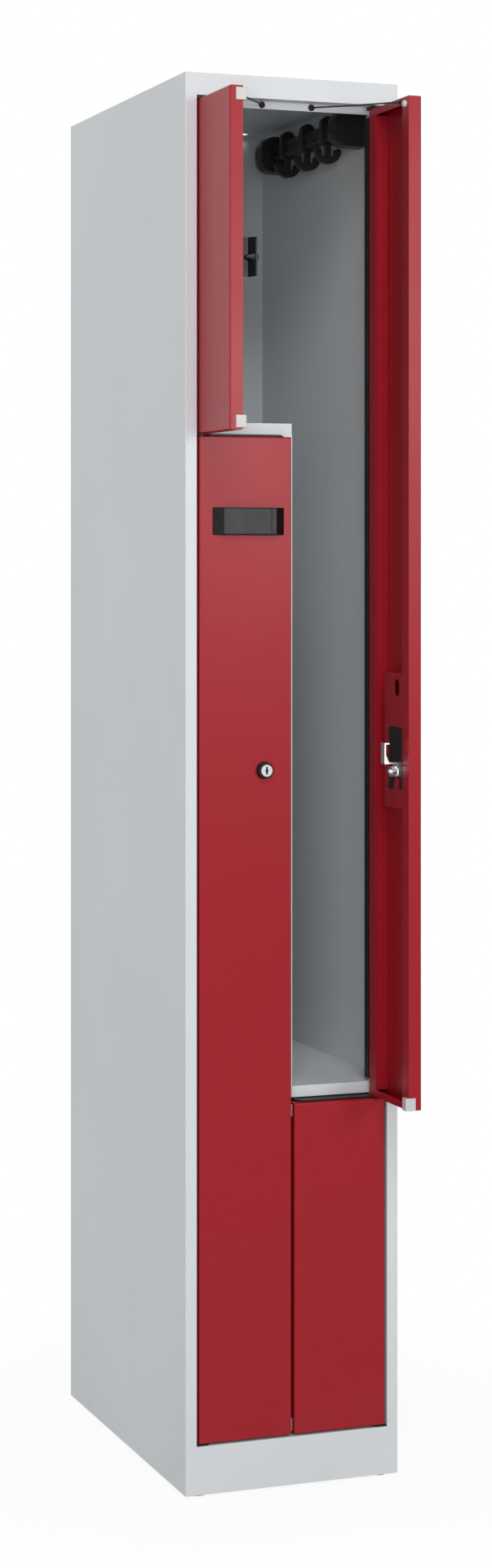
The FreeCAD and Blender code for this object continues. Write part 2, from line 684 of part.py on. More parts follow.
def lock_cam(z):
    # Bent strip up the back of the lock, out, up and back towards the door, with a gusset, nut and stud
    y0 = BODY_BACK + CAM_GAP
    path = [
        (y0, z - CAM_WIDTH / 2),
        (y0, z + CAM_RISE),
        (y0 + CAM_OFFSET, z + CAM_RISE),
        (y0 + CAM_OFFSET, z + CAM_REACH),
        (y0 + CAM_OFFSET - CAM_TIP, z + CAM_REACH),
    ]
    outline = [V(LOCK_U - CAM_WIDTH / 2, y, h) for y, h in folded(path[::-1], CAM_THICKNESS)]
    strip = prism(outline, V(CAM_WIDTH, 0, 0))
    corner = V(LOCK_U - CAM_GUSSET_WIDTH / 2, y0 + CAM_OFFSET, z + CAM_RISE)
    gusset_outline = [corner, corner - INWARD * CAM_GUSSET_REACH, corner + UP * CAM_GUSSET_HEIGHT]
    gusset = prism(gusset_outline, V(CAM_GUSSET_WIDTH, 0, 0))
    nut_seat = V(LOCK_U, y0 + CAM_THICKNESS, z)
    nut_outline = []
    for i in range(6):
        angle = math.radians(60 * i)
        radius = NUT_ACROSS / math.sqrt(3)
        nut_outline.append(nut_seat + V(radius * math.cos(angle), 0, radius * math.sin(angle)))
    nut = prism(nut_outline, INWARD * NUT_HEIGHT)
    stud = rod(CAM_WIDTH / 4, nut_seat, nut_seat + INWARD * (NUT_HEIGHT + STUD_PROUD))
    cam = fuse([strip, gusset, nut, stud])
    return cam.cut(rod(CAM_WIDTH / 4, V(LOCK_U, y0, z), V(LOCK_U, y0 + CAM_THICKNESS, z)))


# Label holder on a tall door

def label_box(height):
    top = height - LABEL_FROM_TOP
    return LABEL_FROM_HINGE, DOOR_WIDTH - LABEL_FROM_FREE, top - LABEL_HEIGHT, top


def label_holder(height):
    # Raised holder with sloping ends and a shallow well for the label
    x0, x1, z0, z1 = label_box(height)
    outline = [
        V(x0, 0, z0),
        V(x0 + LABEL_SLOPE, -LABEL_PROUD, z0),
        V(x1 - LABEL_SLOPE, -LABEL_PROUD, z0),
        V(x1, 0, z0),
    ]
    frame = prism(outline, V(0, 0, LABEL_HEIGHT))
    frame = fillet_where(frame, LABEL_EDGE, lambda e: any(abs(v.Y) > 1e-6 for v in e.Vertexes))
    well_x = (x0 + LABEL_SLOPE + LABEL_EDGE, x1 - LABEL_SLOPE - LABEL_EDGE)
    well_floor = WINDOW_THICKNESS - LABEL_PROUD
    return frame.cut(block(*well_x, -LABEL_PROUD, well_floor, z0 + LABEL_RIM, z1 - LABEL_RIM))


def label_window(height):
    # Dark label sheet in the well, with a narrow end piece towards the free edge
    x0, x1, z0, z1 = label_box(height)
    start = x0 + LABEL_SLOPE + LABEL_EDGE
    end = x1 - LABEL_SLOPE - LABEL_EDGE
    split = end - WINDOW_SPLIT_FROM_END
    pieces = []
    for a, b in ((start, split), (split + WINDOW_SPLIT, end)):
        well_floor = WINDOW_THICKNESS - LABEL_PROUD
        pieces.append(block(a, b, -LABEL_PROUD, well_floor, z0 + LABEL_RIM, z1 - LABEL_RIM))
    return group(pieces)


# Placing door pieces: left-hand leaves stand as made, right-hand ones are mirrored

def hang(shape, side, z0, angle):
    placed = shape.copy()
    placed.translate(V(-DOOR_EDGE, FRONT, z0))
    placed.rotate(V(-PIVOT_X, PIVOT_Y, 0), UP, -angle)
    return placed if side < 0 else mirrored(placed)


def door_point(u, v, z, side, angle):
    marker = Part.Vertex(V(u, v, 0))
    return hang(marker, side, z, angle).Point


def limiter_cord(side, z0, height):
    face = STOP_FACE - BUTTON_HEIGHT - CORD_DIAMETER / 3
    start = V(side * BUTTON_FROM_CENTRE, face, BUTTON_Z)
    z = z0 + height - CORD_BELOW_DOOR_TOP
    lip = door_point(DOOR_WIDTH - CORD_FROM_FREE, DOOR_DEPTH, z, side, UPPER_OPEN_ANGLE)
    knot = door_point(DOOR_WIDTH - CORD_FROM_FREE, DOOR_DEPTH + CORD_KNOT / 2, z, side, UPPER_OPEN_ANGLE)
    print("limiter cord", round((knot - start).Length, 2), [round(c, 3) for p in (start, knot) for c in p])
    eye = Part.makeCylinder(CORD_KNOT / 2, CORD_KNOT / 2, lip, knot - lip)
    return fuse([rod(CORD_DIAMETER / 2, start, knot), eye])


# Coat rails, made on the left wall under a ceiling at the given height

def rail_axis(ceiling):
    return -SIDE + SHEET + RAIL_FROM_WALL, ceiling - RAIL_BELOW_CEILING


def rail_section(ceiling, spare, y0, y1):
    x, z = rail_axis(ceiling)
    half = RAIL_HEIGHT / 2 + spare
    return oval_rod(RAIL_WIDTH + 2 * spare, x, z - half, z + half, y0, y1)


def coat_rail(ceiling):
    # Oval bar let into both brackets, with a few long flutes down each side
    x, z = rail_axis(ceiling)
    bar = rail_section(ceiling, 0, RAIL_FRONT - SOCKET_DEPTH, RAIL_REAR + SOCKET_DEPTH)
    flutes = []
    for i in range(RAIL_FLUTES):
        fz = z + FLUTE_PITCH * (i - (RAIL_FLUTES - 1) / 2)
        for fx in (x - RAIL_WIDTH / 2, x + RAIL_WIDTH / 2):
            flutes.append(rod(FLUTE_DIAMETER / 2, V(fx, RAIL_FRONT, fz), V(fx, RAIL_REAR, fz)))
    return bar.cut(group(flutes))


def rail_bracket(ceiling, face, back):
    # Moulded block from its inner face to its back, with the bar's socket in a recess
    top = ceiling - BRACKET_BELOW_CEILING
    wall = -SIDE + SHEET
    nose = wall + BRACKET_REACH
    solid = block(wall, nose, min(face, back), max(face, back), top - BRACKET_HEIGHT, top)
    solid = fillet_where(solid, BRACKET_CORNER, lambda e: all(abs(v.X - nose) < 1e-6 for v in e.Vertexes)
                         and abs(e.Vertexes[0].Z - e.Vertexes[1].Z) < 1e-6)
    inward = math.copysign(1, back - face)
    recess = sorted((face, face + inward * BRACKET_RECESS))
    socket = sorted((face, face + inward * SOCKET_DEPTH))
    solid = solid.cut(rail_section(ceiling, BRACKET_RECESS_MARGIN, *recess))
    return solid.cut(rail_section(ceiling, 0, *socket))


def rail_brackets(ceiling):
    front = rail_bracket(ceiling, RAIL_FRONT, RAIL_FRONT - BRACKET_THICKNESS)
    rear = rail_bracket(ceiling, RAIL_REAR, RAIL_REAR + BRACKET_THICKNESS)
    return group([front, rear])


def coat_hook(ceiling, y):
    # Flat anchor of thick plate: a tall loop round the bar, a stem, and two prongs from a round bowl
    x, z = rail_axis(ceiling)
    y0 = y - HOOK_WIDTH / 2
    y1 = y + HOOK_WIDTH / 2
    bar_foot = z - RAIL_HEIGHT / 2 - RUNNING_FIT
    foot = bar_foot - HOOK_DROP
    half = HOOK_SPAN / 2
    tip = foot + HOOK_RISE
    disc = rod(half, V(x, y0, foot + half), V(x, y1, foot + half))
    bowl = disc.common(block(x - half, x + half, y0, y1, foot, tip))
    reach = math.sqrt(half ** 2 - (half - HOOK_RISE) ** 2)
    arm = x + reach - HOOK_PRONG / 2
    tips = [rod(HOOK_PRONG / 2, V(at, y0, tip), V(at, y1, tip)) for at in (arm, 2 * x - arm)]
    tips = [tip_round.common(block(x - half, x + half, y0, y1, tip, z)) for tip_round in tips]
    bowl = fuse([bowl] + tips)
    for side in (-1, 1):
        mouth = sorted((x + side * HOOK_STEM / 2, x + side * (reach - HOOK_PRONG)))
        middle = sum(mouth) / 2
        radius = mouth[1] - middle
        slot_foot = foot + HOOK_BOWL + radius
        bowl = bowl.cut(rod(radius, V(middle, y0, slot_foot), V(middle, y1, slot_foot)))
        bowl = bowl.cut(block(*mouth, y0, y1, slot_foot, z))
    crown = z + RAIL_HEIGHT / 2 + HOOK_CROWN
    loop = oval_rod(RAIL_WIDTH + 2 * HOOK_BAND, x, bar_foot - HOOK_BAND, crown, y0, y1)
    stem = block(x - HOOK_STEM / 2, x + HOOK_STEM / 2, y0, y1, foot + HOOK_BOWL, z)
    return fuse([bowl, loop, stem]).cut(rail_section(ceiling, RUNNING_FIT, y0, y1))


# The four leaves: name, hinge side, bottom, height, opening at rest, tall or short
LEAVES = [
    ("upper_left", -1, UPPER_LEFT_START, SHORT_DOOR, UPPER_OPEN_ANGLE, False),
    ("upper_right", 1, UPPER_RIGHT_START, TALL_DOOR, UPPER_OPEN_ANGLE, True),
    ("lower_left", -1, LOWER_START, TALL_DOOR, 0.0, True),
    ("lower_right", 1, LOWER_START, SHORT_DOOR, 0.0, False),
]


def carcass_pieces():
    return {
        "left_side_panel": side_panel(),
        "right_side_panel": mirrored(side_panel()),
        "top_panel": top_panel(),
        "back_panel": back_panel(),
        "plinth": plinth(),
        "floor_panel": floor_panel(),
        "upper_shelf": shelf(UPPER_BAND),
        "divider_wall": divider_wall(),
        "lower_shelf": mirrored(shelf(LOWER_BAND)),
        "levelling_feet": levelling_feet(),
        "upper_gap_strip": gap_strip(LOWER_START + TALL_DOOR, UPPER_BAND),
        "lower_gap_strip": mirrored(gap_strip(LOWER_START + SHORT_DOOR, LOWER_BAND)),
        "pivot_bearings": pivot_bearings(),
        "pivot_pins": pivot_pins(),
        "hinge_seals": hinge_seals(),
        "cord_buttons": cord_buttons(),
    }


def door_pieces():
    pieces = {}
    for name, side, z0, height, angle, tall in LEAVES:
        lock = LOCK_HEIGHT - z0
        made = {
            "door_" + name: door_pan(height, lock if tall else None),
            "stiffener_" + name: door_stiffener(height),
            "bushes_" + name: door_bushes(height),
            "buffers_" + name: door_buffers(height, tall),
        }
        if tall:
            made["lock_cover_" + name] = lock_cover(lock)
            made["lock_body_" + name] = lock_body(lock)
            made["lock_bezel_" + name] = lock_bezel(lock)
            made["lock_cylinder_" + name] = lock_cylinder(lock)
            made["lock_cam_" + name] = lock_cam(lock)
            made["label_holder_" + name] = label_holder(height)
            made["label_window_" + name] = label_window(height)
        else:
            made["catch_tongue_" + name] = catch_tongue(height)
        for node, shape in made.items():
            pieces[node] = hang(shape, side, z0, angle)
    pieces["limiter_cord_left"] = limiter_cord(-1, UPPER_LEFT_START, SHORT_DOOR)
    pieces["limiter_cord_right"] = limiter_cord(1, UPPER_RIGHT_START, TALL_DOOR)
    return pieces


def rail_pieces():
    pieces = {}
    for name, ceiling, place in (("upper", CEILING, mirrored), ("lower", UPPER_BAND, Part.Shape.copy)):
        pieces["coat_rail_" + name] = place(coat_rail(ceiling))
        pieces["rail_brackets_" + name] = place(rail_brackets(ceiling))
        for i in range(HOOK_COUNT):
            hook = coat_hook(ceiling, HOOK_FIRST + HOOK_PITCH * i)
            pieces["coat_hook_%s_%d" % (name, i + 1)] = place(hook)
    return pieces


def main():
    os.makedirs("parts", exist_ok=True)
    pieces = {}
    for made in (carcass_pieces(), door_pieces(), rail_pieces()):
        pieces.update(made)
    for node, shape in pieces.items():
        shape.exportStep("parts/" + node + ".step")
    print(len(pieces), "pieces,", sum(len(shape.Solids) for shape in pieces.values()), "solids")
    print("doors", round(DOOR_WIDTH, 2), round(TALL_DOOR, 2), round(SHORT_DOOR, 2))


main()
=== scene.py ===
import json
import math

import bmesh
import bpy
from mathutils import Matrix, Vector


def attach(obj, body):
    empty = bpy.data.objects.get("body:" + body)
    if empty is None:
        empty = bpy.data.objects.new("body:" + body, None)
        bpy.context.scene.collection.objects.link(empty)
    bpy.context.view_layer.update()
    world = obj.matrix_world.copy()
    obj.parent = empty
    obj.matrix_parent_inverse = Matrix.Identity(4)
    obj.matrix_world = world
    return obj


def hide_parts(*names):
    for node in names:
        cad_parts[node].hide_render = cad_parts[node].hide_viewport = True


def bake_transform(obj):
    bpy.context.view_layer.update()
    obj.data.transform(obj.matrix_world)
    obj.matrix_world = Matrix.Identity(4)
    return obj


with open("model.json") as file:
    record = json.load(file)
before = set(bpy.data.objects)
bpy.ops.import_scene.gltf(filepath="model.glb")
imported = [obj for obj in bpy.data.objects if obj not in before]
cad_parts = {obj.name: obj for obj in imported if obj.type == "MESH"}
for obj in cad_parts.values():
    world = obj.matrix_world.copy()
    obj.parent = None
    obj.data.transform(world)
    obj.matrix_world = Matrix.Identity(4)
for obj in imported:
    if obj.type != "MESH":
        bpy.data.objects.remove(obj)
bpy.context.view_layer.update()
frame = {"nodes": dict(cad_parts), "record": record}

UP = Vector((0, 0, 1))

# Places and sizes in metres, repeated from the part's source; the left side mirrors the right one
SIDES = {"left": -1, "right": 1}
STOP_FACE = -0.227
BUTTON_PLACE = (0.0351, STOP_FACE, 1.8162)
BUTTON_HEIGHT = 0.003
BUTTON_RADIUS = 0.0043
CORD_START = (0.0351, -0.230733, 1.8162)
CORD_END = (0.1118, -0.340, 1.811)
CORD_DIAMETER = 0.0022
LOCKS = {
    "lower_left": {"at": (-0.0404, -0.25, 0.942), "outward": (0, -1, 0)},
    "upper_right": {"at": (0.1323, -0.3283, 0.942), "outward": (1, 0, 0)},
}

# Limiter cords: sag at the middle, facets of the tube, and the braid's UV units around it and per metre
CORD_SAG = 0.0012
CORD_FACETS = 14
BRAID_AROUND = 4
BRAID_PER_METRE = 375.0

# Eyelet where a cord enters its leaf: profile of (radius, distance along the axis), and its set-back
EYELET_PROFILE = [
    (0.0012, 0.0),
    (0.0030, 0.0),
    (0.0031, 0.0006),
    (0.0024, 0.0016),
    (0.0012, 0.0018),
]
EYELET_SET_BACK = 0.0025

# Knob that holds a cord, with a ring groove and a small centre boss; its round is (inset, distance)
KNOB_SHOULDER = 0.0012
KNOB_ROUND = [(0.0003, 0.0022), (0.0009, 0.0029)]
KNOB_GROOVE_DEPTH = 0.0023
KNOB_PROFILE = [
    (0.0, 0.0),
    (BUTTON_RADIUS, 0.0),
    (BUTTON_RADIUS, KNOB_SHOULDER),
    *[(BUTTON_RADIUS - inset, along) for inset, along in KNOB_ROUND],
    (0.0030, BUTTON_HEIGHT),
    (0.0026, KNOB_GROOVE_DEPTH),
    (0.0020, KNOB_GROOVE_DEPTH),
    (0.0017, 0.0029),
    (0.0, BUTTON_HEIGHT),
]

# Lock rosette: a bezel with a rounded nose, as (radius, distance from the leaf's face)
ROSETTE_RADIUS = 0.01125
ROSETTE_PROFILE = [
    (0.00780, -0.0010),
    (ROSETTE_RADIUS, 0.0),
    (ROSETTE_RADIUS, 0.0012),
    (0.01100, 0.0030),
    (0.01060, 0.0060),
    (0.01020, 0.0078),
    (0.00960, 0.0087),
    (0.00890, 0.0090),
    (0.00830, 0.0086),
    (0.00785, 0.0078),
]

# Painted shade in each keyway: a black piece shaped as the slot with a round eye fills the keyhole where
# only shade would be, with a small chamfer at its front
KEYWAY_HALF = 0.00128
KEYWAY_TALL = 0.00498
KEYWAY_EYE = 0.00218
EYE_STEPS = 12
SHADE_PLUG_BACK = 0.0060
SHADE_PLUG_FRONT = 0.0092
SHADE_PLUG_CHAMFER = 0.0003
SHADE_PLUG_TIP_SHARE = 0.88

# Lathe work: points nearer the axis than this lie on it, and the facets of a turn
ON_AXIS = 1e-7
TURN_FACETS = 48
ROSETTE_FACETS = 64

# Small rounds on moulded and stamped pieces: width and segments
ROUND_OF = {
    "coat_hook": (0.0014, 3),
    "rail_brackets": (0.0015, 3),
    "catch_tongue": (0.0005, 2),
    "buffers": (0.0007, 2),
    "lock_cam": (0.0004, 2),
    "lock_body": (0.0004, 2),
}
WELD_REACH = 0.00001
SHARP_EDGE = math.radians(40)

# Pieces whose finish differs from that of their material slot
FINISH_OF = {
    "coat_rail": "rail_plastic",
    "rail_brackets": "rail_plastic",
    "coat_hook": "rail_plastic",
    "label_holder": "label_frame",
    "lock_cam": "cam_plate",
}

# Paint, plastic and metal colours, linear
GREY_PAINT = (0.617, 0.647, 0.663, 1)
GREY_PAINT_SHADE = (0.600, 0.630, 0.645, 1)
RED_PAINT = (0.310, 0.0085, 0.0164, 1)
RED_PAINT_SHADE = (0.296, 0.0081, 0.0154, 1)
BLACK_PLASTIC = (0.0110, 0.0110, 0.0118, 1)
BLACK_PLASTIC_SHADE = (0.0080, 0.0080, 0.0088, 1)
PALE_PLASTIC = (0.540, 0.540, 0.530, 1)
PALE_PLASTIC_SHADE = (0.490, 0.490, 0.478, 1)
RAIL_BLACK = (0.0150, 0.0152, 0.0157, 1)
RAIL_BLACK_SHADE = (0.0115, 0.0117, 0.0122, 1)
LABEL_FRAME = (0.0070, 0.0068, 0.0070, 1)
LABEL_FRAME_SHADE = (0.0050, 0.0049, 0.0050, 1)
LABEL_SHEET = (0.036, 0.036, 0.037, 1)
LABEL_SHEET_SHADE = (0.031, 0.031, 0.032, 1)
CHROME = (0.700, 0.710, 0.725, 1)
CHROME_SHADE = (0.560, 0.570, 0.590, 1)
CAM_PLATE = (0.880, 0.875, 0.860, 1)
CAM_PLATE_SHADE = (0.740, 0.735, 0.720, 1)
# Zinc plate, darkened below bare zinc as painted shade for the plated parts that sit in shade
ZINC = (0.260, 0.260, 0.255, 1)
ZINC_SHADE = (0.190, 0.190, 0.186, 1)
CORD_BLACK = (0.012, 0.012, 0.013, 1)
CORD_BLACK_SHADE = (0.030, 0.030, 0.032, 1)
DUST = (0.420, 0.400, 0.370, 1)
WHITE = (1, 1, 1, 1)
FLOOR_GREY = (0.82, 0.82, 0.82, 1)

# Most values of a noise texture lie between these two
NOISE_LOW = 0.3
NOISE_HIGH = 0.7

# Shares of slow drift and fine mottle in the tone of a coat
DRIFT_SHARE = 0.75
MOTTLE_SHARE = 0.25

# Powder coat and floor dust
PAINT_DRIFT_SCALE = 3.5
PAINT_PEBBLE_SCALE = 620.0
DUST_REACH = 0.16
DUST_ROUGHNESS = 0.35
DUST_BLOTCH_SCALE = 38.0
DUST_BLOTCH_LOW = 0.42
DUST_BLOTCH_HIGH = 0.70
PLASTIC_DRIFT_SCALE = 55.0

# Sockets of a colour Mix node, which has several of the same name
MIX_FACTOR = 0
MIX_FIRST = 6
MIX_SECOND = 7
MIX_RESULT = 2

# Stage: the floor's reach, its shadow that fades with distance, and the light of the surround
FLOOR_REACH = 14.0
SHADOW_NEAR = 0.25
SHADOW_FAR = 0.75
WHITE_SHARE_NEAR = 0.92
SURROUND_LIGHT = 0.20

# Camera at the photo's viewing angle, level and turned about the vertical
CAMERA_PLACE = (-1.41457, -3.80657, 1.20109)
CAMERA_TURN = math.radians(-20.03)
CAMERA_LENS = 66.887
CAMERA_SENSOR = 36.0
CAMERA_SHIFT_X = 0.02383
CAMERA_SHIFT_Y = -0.13504


# Node trees

def set_or_link(tree, socket, value):
    if isinstance(value, bpy.types.NodeSocket):
        tree.links.new(value, socket)
    else:
        socket.default_value = value


def add_node(tree, kind, inputs=None, **settings):
    made = tree.nodes.new(kind)
    for name, value in settings.items():
        setattr(made, name, value)
    for name, value in (inputs or {}).items():
        set_or_link(tree, made.inputs[name], value)
    return made


def start_group(name, inputs, outputs):
    tree = bpy.data.node_groups.new(name, "ShaderNodeTree")
    for label, kind, value in inputs:
        socket = tree.interface.new_socket(label, in_out="INPUT", socket_type=kind)
        socket.default_value = value
    for label, kind in outputs:
        tree.interface.new_socket(label, in_out="OUTPUT", socket_type=kind)
    given = tree.nodes.new("NodeGroupInput").outputs
    out = tree.nodes.new("NodeGroupOutput").inputs
    return tree, given, out


def mixed(tree, factor, first, second):
    inputs = {MIX_FACTOR: factor, MIX_FIRST: first, MIX_SECOND: second}
    return add_node(tree, "ShaderNodeMix", inputs, data_type="RGBA").outputs[MIX_RESULT]


def spread(tree, value, low, high, to_low, to_high):
    # Carries a value from the range low to high over to the range to_low to to_high
    inputs = {"Value": value, "From Min": low, "From Max": high, "To Min": to_low, "To Max": to_high}
    return add_node(tree, "ShaderNodeMapRange", inputs).outputs["Result"]


def worked_out(tree, operation, first, second):
    return add_node(tree, "ShaderNodeMath", {0: first, 1: second}, operation=operation).outputs[0]


def coat_skin_group():
    # Sprayed or moulded skin: slow drift of tone, fine mottle, pebbled height and roughness to match
    tree, given, out = start_group(
        "coat_skin",
        [
            ("Tone", "NodeSocketColor", (0.8, 0.8, 0.8, 1)),
            ("Shade", "NodeSocketColor", (0.7, 0.7, 0.7, 1)),
            ("Drift Scale", "NodeSocketFloat", 4.0),
            ("Pebble Scale", "NodeSocketFloat", 700.0),
            ("Roughness Low", "NodeSocketFloat", 0.3),
            ("Roughness High", "NodeSocketFloat", 0.4),
        ],
        [("Color", "NodeSocketColor"), ("Roughness", "NodeSocketFloat"), ("Height", "NodeSocketFloat")],
    )
    place = add_node(tree, "ShaderNodeTexCoord").outputs["Object"]
    drift = add_node(
        tree, "ShaderNodeTexNoise", {"Vector": place, "Scale": given["Drift Scale"], "Detail": 3.0}
    ).outputs["Fac"]
    pebble = add_node(
        tree, "ShaderNodeTexNoise", {"Vector": place, "Scale": given["Pebble Scale"], "Detail": 2.0}
    ).outputs["Fac"]
    slow = spread(tree, drift, NOISE_LOW, NOISE_HIGH, 0.0, DRIFT_SHARE)
    fine = spread(tree, pebble, NOISE_LOW, NOISE_HIGH, 0.0, MOTTLE_SHARE)
    share = worked_out(tree, "ADD", slow, fine)
    rough = spread(tree, share, 0.0, 1.0, given["Roughness Low"], given["Roughness High"])
    tree.links.new(mixed(tree, share, given["Tone"], given["Shade"]), out["Color"])
    tree.links.new(rough, out["Roughness"])
    tree.links.new(pebble, out["Height"])
    return tree


def floor_dust_group():
    # Mask of dust and shoe scuffs that thins out with height above the floor
    tree, given, out = start_group(
        "floor_dust",
        [("Reach", "NodeSocketFloat", 0.15), ("Amount", "NodeSocketFloat", 0.3)],
        [("Mask", "NodeSocketFloat")],
    )
    place = add_node(tree, "ShaderNodeTexCoord").outputs["Object"]
    height = add_node(tree, "ShaderNodeSeparateXYZ", {"Vector": place}).outputs["Z"]
    blotch = add_node(
        tree, "ShaderNodeTexNoise", {"Vector": place, "Scale": DUST_BLOTCH_SCALE, "Detail": 6.0}
    ).outputs["Fac"]
    fade = spread(tree, height, 0.0, given["Reach"], 1.0, 0.0)
    patches = spread(tree, blotch, DUST_BLOTCH_LOW, DUST_BLOTCH_HIGH, 0.0, 1.0)
    share = worked_out(tree, "MULTIPLY", fade, patches)
    tree.links.new(worked_out(tree, "MULTIPLY", share, given["Amount"]), out["Mask"])
    return tree


def brushed_lines_group():
    # Fine lines of a turned or drawn metal face, with a height to match
    tree, given, out = start_group(
        "brushed_lines",
        [
            ("Tone", "NodeSocketColor", (0.7, 0.7, 0.7, 1)),
            ("Shade", "NodeSocketColor", (0.5, 0.5, 0.5, 1)),
            ("Stretch", "NodeSocketVector", (1.0, 1.0, 1.0)),
            ("Roughness Low", "NodeSocketFloat", 0.1),
            ("Roughness High", "NodeSocketFloat", 0.2),
        ],
        [("Color", "NodeSocketColor"), ("Roughness", "NodeSocketFloat"), ("Height", "NodeSocketFloat")],
    )
    place = add_node(tree, "ShaderNodeTexCoord").outputs["Object"]
    drawn = add_node(tree, "ShaderNodeMapping", {"Vector": place, "Scale": given["Stretch"]})
    lines = add_node(
        tree, "ShaderNodeTexNoise", {"Vector": drawn.outputs["Vector"], "Scale": 1.0, "Detail": 4.0}
    ).outputs["Fac"]
    share = spread(tree, lines, NOISE_LOW, NOISE_HIGH, 0.0, 1.0)
    rough = spread(tree, share, 0.0, 1.0, given["Roughness Low"], given["Roughness High"])
    tree.links.new(mixed(tree, share, given["Tone"], given["Shade"]), out["Color"])
    tree.links.new(rough, out["Roughness"])
    tree.links.new(lines, out["Height"])
    return tree


COAT_SKIN = coat_skin_group()
FLOOR_DUST = floor_dust_group()
BRUSHED_LINES = brushed_lines_group()


# Materials, kept under their own names

MATERIALS = {}


def start_material(name):
    material = bpy.data.materials.new(name)
    material.use_nodes = True
    material.node_tree.nodes.clear()
    MATERIALS[name] = material
    return material.node_tree


def finish_shader(tree, color, roughness, height, depth, strength, **plain):
    # The plain values are the same all over, so they sit on the shader's own sockets
    bump = add_node(tree, "ShaderNodeBump", {"Height": height, "Strength": strength, "Distance": depth})
    shader = add_node(
        tree,
        "ShaderNodeBsdfPrincipled",
        {"Base Color": color, "Roughness": roughness, "Normal": bump.outputs["Normal"]},
    )
    for name, value in plain.items():
        shader.inputs[name.replace("_", " ")].default_value = value
    add_node(tree, "ShaderNodeOutputMaterial", {"Surface": shader.outputs["BSDF"]})


def skin_node(tree, tone, shade, drift, pebble, roughness):
    low, high = roughness
    inputs = {
        "Tone": tone,
        "Shade": shade,
        "Drift Scale": drift,
        "Pebble Scale": pebble,
        "Roughness Low": low,
        "Roughness High": high,
    }
    return add_node(tree, "ShaderNodeGroup", inputs, node_tree=COAT_SKIN).outputs


def powder_coat(name, tone, shade, roughness, dust, specular):
    tree = start_material(name)
    skin = skin_node(tree, tone, shade, PAINT_DRIFT_SCALE, PAINT_PEBBLE_SCALE, roughness)
    dusting = {"Reach": DUST_REACH, "Amount": dust}
    mask = add_node(tree, "ShaderNodeGroup", dusting, node_tree=FLOOR_DUST).outputs["Mask"]
    color = mixed(tree, mask, skin["Color"], DUST)
    dulled = worked_out(tree, "MULTIPLY", mask, DUST_ROUGHNESS)
    rough = worked_out(tree, "ADD", skin["Roughness"], dulled)
    finish_shader(
        tree, color, rough, skin["Height"], depth=0.00012, strength=0.35, Specular_IOR_Level=specular
    )


def moulded_plastic(name, tone, shade, roughness, pebble, depth, specular):
    tree = start_material(name)
    skin = skin_node(tree, tone, shade, PLASTIC_DRIFT_SCALE, pebble, roughness)
    finish_shader(
        tree,
        skin["Color"],
        skin["Roughness"],
        skin["Height"],
        depth=depth,
        strength=0.4,
        Specular_IOR_Level=specular,
    )


def bright_metal(name, tone, shade, stretch, roughness):
    tree = start_material(name)
    low, high = roughness
    inputs = {
        "Tone": tone,
        "Shade": shade,
        "Stretch": stretch,
        "Roughness Low": low,
        "Roughness High": high,
    }
    lines = add_node(tree, "ShaderNodeGroup", inputs, node_tree=BRUSHED_LINES).outputs
    finish_shader(
        tree,
        lines["Color"],
        lines["Roughness"],
        lines["Height"],
        depth=0.00003,
        strength=0.25,
        Metallic=1.0,
    )


def braided_cord(name):
    # Two sets of slanting strands that cross along the cord
    tree = start_material(name)
    place = add_node(tree, "ShaderNodeTexCoord").outputs["UV"]
    strands = []
    for slant in (math.pi / 4, -math.pi / 4):
        turned = add_node(tree, "ShaderNodeMapping", {"Vector": place, "Rotation": (0, 0, slant)})
        inputs = {"Vector": turned.outputs["Vector"], "Scale": 1.0, "Distortion": 0.3}
        strands.append(add_node(tree, "ShaderNodeTexWave", inputs).outputs["Fac"])
    weave = worked_out(tree, "MAXIMUM", strands[0], strands[1])
    color = mixed(tree, weave, CORD_BLACK, CORD_BLACK_SHADE)
    rough = spread(tree, weave, 0.0, 1.0, 0.75, 0.6)
    finish_shader(tree, color, rough, weave, depth=0.0002, strength=0.6, Specular_IOR_Level=0.3)


powder_coat(
    "carcass_paint", GREY_PAINT, GREY_PAINT_SHADE,
    roughness=(0.36, 0.46), dust=0.07, specular=0.30,
)
powder_coat(
    "door_paint", RED_PAINT, RED_PAINT_SHADE,
    roughness=(0.27, 0.36), dust=0.02, specular=0.20,
)
moulded_plastic(
    "black_plastic", BLACK_PLASTIC, BLACK_PLASTIC_SHADE,
    roughness=(0.34, 0.52), pebble=1500.0, depth=0.00006, specular=0.26,
)
moulded_plastic(
    "rail_plastic", RAIL_BLACK, RAIL_BLACK_SHADE,
    roughness=(0.30, 0.44), pebble=1500.0, depth=0.00006, specular=0.36,
)
moulded_plastic(
    "label_frame", LABEL_FRAME, LABEL_FRAME_SHADE,
    roughness=(0.34, 0.44), pebble=1500.0, depth=0.00004, specular=0.14,
)
moulded_plastic(
    "pale_plastic", PALE_PLASTIC, PALE_PLASTIC_SHADE,
    roughness=(0.38, 0.50), pebble=1100.0, depth=0.00005, specular=0.45,
)
moulded_plastic(
    "label_window", LABEL_SHEET, LABEL_SHEET_SHADE,
    roughness=(0.30, 0.38), pebble=400.0, depth=0.00003, specular=0.14,
)
bright_metal(
    "chrome", CHROME, CHROME_SHADE,
    stretch=(900.0, 900.0, 120.0), roughness=(0.10, 0.20),
)
bright_metal(
    "cam_plate", CAM_PLATE, CAM_PLATE_SHADE,
    stretch=(500.0, 500.0, 160.0), roughness=(0.24, 0.36),
)
# Plated steel, in the zinc tone that is darkened as painted shade
bright_metal(
    "plated_steel", ZINC, ZINC_SHADE,
    stretch=(420.0, 420.0, 420.0), roughness=(0.26, 0.42),
)
braided_cord("black_cord")


# Dressing the CAD nodes

def dress(obj, finish):
    material = MATERIALS[finish]
    if not obj.material_slots:
        obj.data.materials.append(material)
    for slot in obj.material_slots:
        slot.material = material


